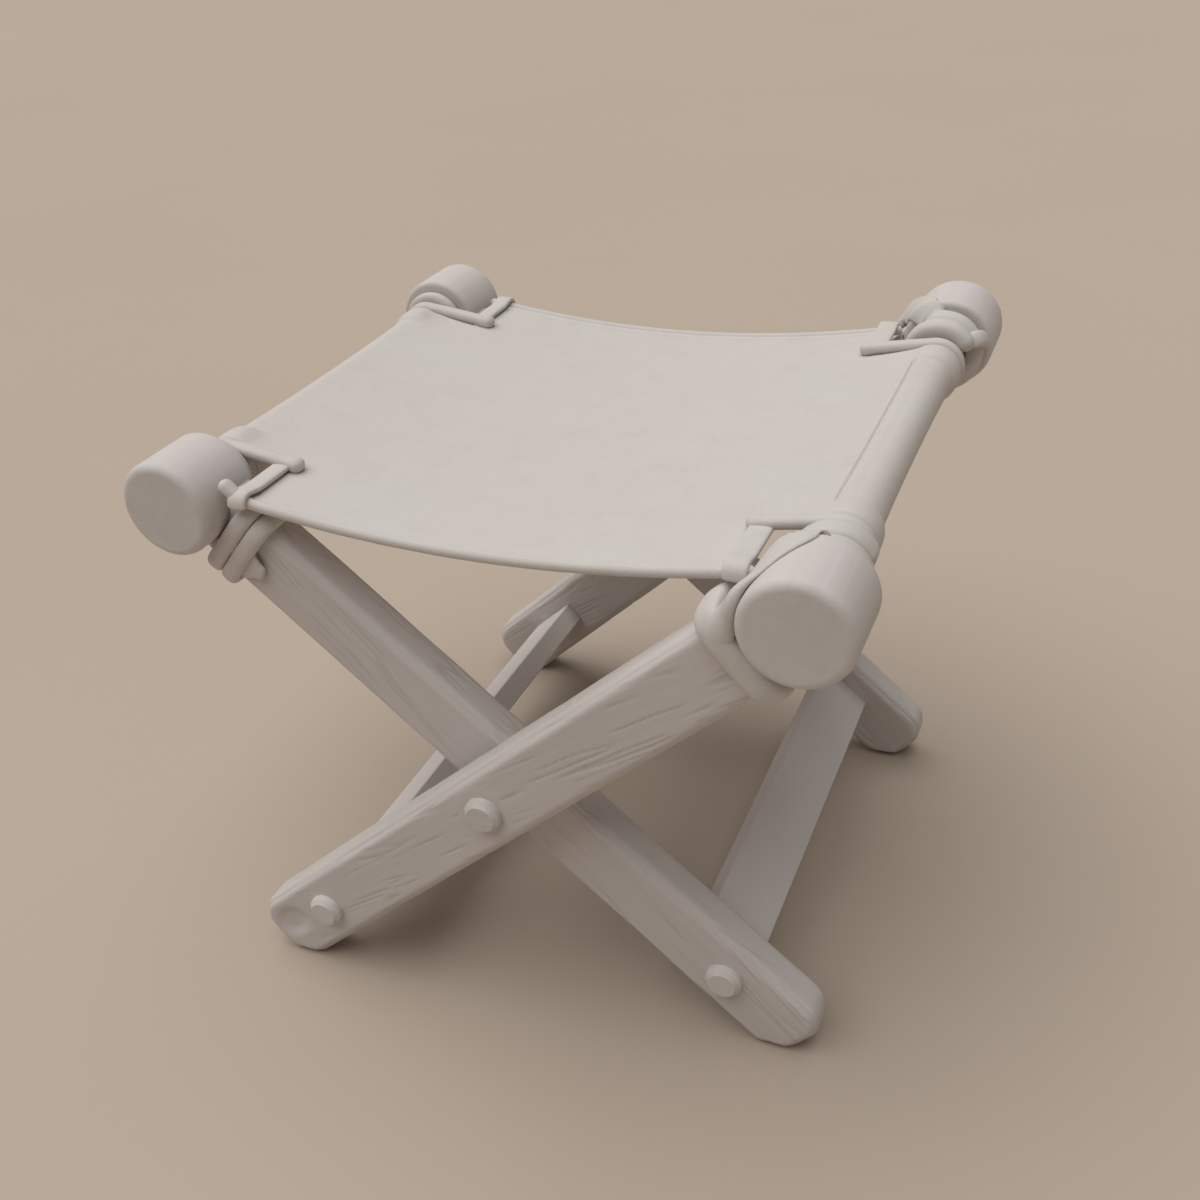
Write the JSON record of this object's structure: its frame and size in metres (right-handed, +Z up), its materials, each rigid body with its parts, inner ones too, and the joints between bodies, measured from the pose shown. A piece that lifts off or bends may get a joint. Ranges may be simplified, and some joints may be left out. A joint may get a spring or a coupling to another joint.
{
  "type": "folding stool",
  "caption": "Scissor-leg folding stool: crossed wooden frames on pivot pins, knobbed round rails, and a sagging leather sling lashed to them with straps.",
  "frame": {"origin": "floor level under the middle of the open stool", "axes": "+Z up, +X from the left rail to the right rail across the sling, +Y from the front end to the back end"},
  "size_m": [0.509, 0.492, 0.4343],
  "materials": {
    "leg_wood": "limewashed, hand-cut grain, worn edges",
    "rail_wood": "limewashed, turned and rubbed smooth",
    "stretcher_wood": "limewashed, planed smooth",
    "peg_wood": "limewashed, turned",
    "pivot_iron": "matt off-white paint",
    "seat_leather": "matt white-tawed hide",
    "strap_leather": "matt white-tawed hide strap"
  },
  "bodies": {
    "inner_frame": {"rail_left": "rail_wood", "stretcher_a": "stretcher_wood", "leg_a_front": "leg_wood", "leg_a_back": "leg_wood", "peg_a_front": "peg_wood", "peg_a_back": "peg_wood", "tenon_pin_a_front": "peg_wood", "tenon_pin_a_back": "peg_wood", "pivot_washer_front": "pivot_iron", "pivot_washer_back": "pivot_iron", "tie_front_left": "strap_leather", "tie_back_left": "strap_leather", "lashing_front_left": "strap_leather", "lashing_back_left": "strap_leather", "seat_sling": "seat_leather"},
    "outer_frame": {"rail_right": "rail_wood", "stretcher_b": "stretcher_wood", "leg_b_front": "leg_wood", "leg_b_back": "leg_wood", "peg_b_front": "peg_wood", "peg_b_back": "peg_wood", "tenon_pin_b_front": "peg_wood", "tenon_pin_b_back": "peg_wood", "pivot_pin_front": "pivot_iron", "pivot_pin_back": "pivot_iron", "pivot_rove_front": "pivot_iron", "pivot_rove_back": "pivot_iron", "tie_front_right": "strap_leather", "tie_back_right": "strap_leather", "lashing_front_right": "strap_leather", "lashing_back_right": "strap_leather"}
  },
  "joints": [
    {"name": "fold", "type": "hinge", "parent": "inner_frame", "child": "outer_frame", "pos_m": [0, 0, 0.198], "axis": [0, -1, 0], "range_deg": [0, 75], "deforming": ["seat_sling", "tie_front_left", "tie_front_right", "tie_back_left", "tie_back_right"]}
  ]
}
